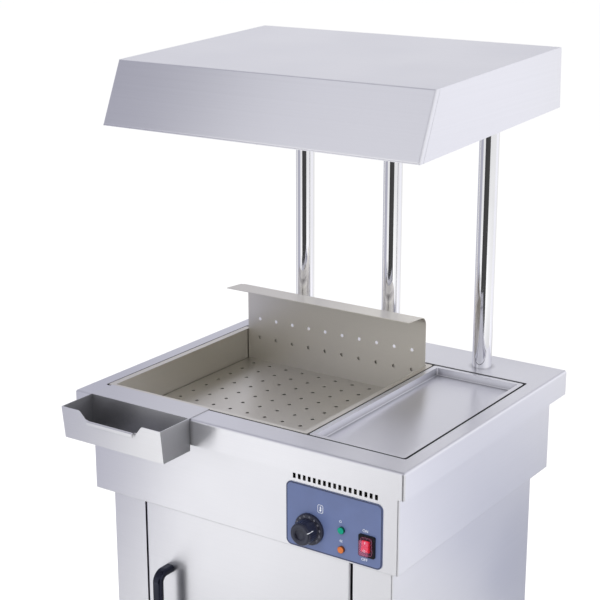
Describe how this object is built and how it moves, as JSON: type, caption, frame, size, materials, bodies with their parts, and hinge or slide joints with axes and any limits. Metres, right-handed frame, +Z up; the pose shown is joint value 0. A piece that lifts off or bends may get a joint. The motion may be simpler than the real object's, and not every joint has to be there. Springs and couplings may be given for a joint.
{
  "type": "chip scuttle",
  "caption": "Free-standing stainless chip scuttle: heated bay with lift-out perforated pan and bagging tray, hook-on salt tray, cupboard below, lamp canopy on chromed posts, dial and rocker.",
  "frame": {"origin": "on the floor, below the middle of the whole box", "axes": "+X to the user's right when facing the controls, +Y towards the rear, +Z up"},
  "size_m": [0.6, 0.592, 1.3738],
  "materials": {
    "worktop_steel": "fine brushed stainless",
    "cabinet_steel": "fine brushed stainless",
    "canopy_steel": "fine brushed stainless",
    "pan_steel": "satin stainless",
    "hook_tray_steel": "satin stainless",
    "post_chrome": "mirror chrome",
    "fixing_steel": "plain stainless",
    "structure_steel": "galvanised",
    "foot_steel": "turned stainless",
    "element_sheath": "heat-darkened nickel alloy",
    "insulation": "mineral fibre",
    "black_plastic": "satin",
    "white_plastic": "satin",
    "lamp_ceramic": "glazed ceramic",
    "clear_cover": "clear",
    "rocker_red": "gloss",
    "lens_green": "clear coloured",
    "lens_amber": "clear coloured",
    "fascia_print": "satin print",
    "reflector": "bright rolled",
    "quartz": "clear"
  },
  "bodies": {
    "base": {"amber_lens": "lens_amber", "back_panel": "cabinet_steel", "bay_well": "worktop_steel", "bottom_rail": "cabinet_steel", "cabinet_floor": "cabinet_steel", "cabinet_left_side": "cabinet_steel", "cabinet_right_side": "cabinet_steel", "cable_gland": "black_plastic", "canopy_floor": "canopy_steel", "canopy_left_cheek": "canopy_steel", "canopy_right_cheek": "canopy_steel", "canopy_skin": "canopy_steel", "compartment_tray": "cabinet_steel", "control_housing": "cabinet_steel", "divider_bar": "worktop_steel", "element_clamps": "fixing_steel", "fascia_plate": "fascia_print", "foot_sockets": "foot_steel", "green_lens": "lens_green", "heat_baffle": "structure_steel", "heat_tubes": "quartz", "heating_element": "element_sheath", "hinge_pins": "fixing_steel", "insulation_slab": "insulation", "lamp_guards": "fixing_steel", "lamp_holders": "lamp_ceramic", "lamp_reflectors": "reflector", "magnetic_catch": "white_plastic", "panel_screws": "fixing_steel", "pilot_lamp_bodies": "black_plastic", "post_channel": "structure_steel", "post_hardware": "fixing_steel", "post_plugs": "post_chrome", "posts": "post_chrome", "spine_bar": "structure_steel", "switch_boot": "clear_cover", "switch_housing": "black_plastic", "terminal_block": "white_plastic", "thermostat_body": "black_plastic", "thermostat_sensor": "fixing_steel", "top_rail": "cabinet_steel", "worktop": "worktop_steel"},
    "door": {"door_skin": "cabinet_steel", "door_liner": "cabinet_steel", "door_handle": "black_plastic", "handle_screws": "fixing_steel", "hinge_bushes": "white_plastic", "catch_strike": "fixing_steel"},
    "knob": {"thermostat_knob": "black_plastic", "thermostat_shaft": "fixing_steel"},
    "switch_key": {"rocker": "rocker_red"},
    "pan": {"chip_pan": "pan_steel"},
    "insert": {"perforated_insert": "pan_steel"},
    "bagging": {"bagging_tray": "worktop_steel"},
    "salt_tray": {"hook_tray": "hook_tray_steel"},
    "level_front_left": {"foot_front_left": "foot_steel"},
    "level_front_right": {"foot_front_right": "foot_steel"},
    "level_rear_left": {"foot_rear_left": "foot_steel"},
    "level_rear_right": {"foot_rear_right": "foot_steel"}
  },
  "joints": [
    {"name": "door_hinge", "type": "hinge", "parent": "base", "child": "door", "pos_m": [0.1713, -0.176, 0.39], "axis": [0, 0, 1], "range_deg": [0, 110]},
    {"name": "dial_turn", "type": "hinge", "parent": "base", "child": "knob", "pos_m": [0.1343, -0.215, 0.7196], "axis": [0, 1, 0], "range_deg": [-60, 240]},
    {"name": "rocker_tilt", "type": "hinge", "parent": "base", "child": "switch_key", "pos_m": [0.2315, -0.2062, 0.718], "axis": [1, 0, 0], "range_deg": [0, 20]},
    {"name": "pan_lift", "type": "slide", "parent": "base", "child": "pan", "axis": [0, 0, 1], "range_m": [0, 0.09]},
    {"name": "insert_lift", "type": "slide", "parent": "pan", "child": "insert", "axis": [0, 0, 1], "range_m": [0, 0.1]},
    {"name": "bagging_tray_lift", "type": "slide", "parent": "base", "child": "bagging", "axis": [0, 0, 1], "range_m": [0, 0.09]},
    {"name": "salt_tray_lift", "type": "slide", "parent": "base", "child": "salt_tray", "axis": [0, 0, 1], "range_m": [0, 0.06]},
    {"name": "foot_front_left_screw", "type": "slide", "parent": "base", "child": "level_front_left", "axis": [0, 0, -1], "range_m": [0, 0.025]},
    {"name": "foot_front_right_screw", "type": "slide", "parent": "base", "child": "level_front_right", "axis": [0, 0, -1], "range_m": [0, 0.025]},
    {"name": "foot_rear_left_screw", "type": "slide", "parent": "base", "child": "level_rear_left", "axis": [0, 0, -1], "range_m": [0, 0.025]},
    {"name": "foot_rear_right_screw", "type": "slide", "parent": "base", "child": "level_rear_right", "axis": [0, 0, -1], "range_m": [0, 0.025]}
  ]
}
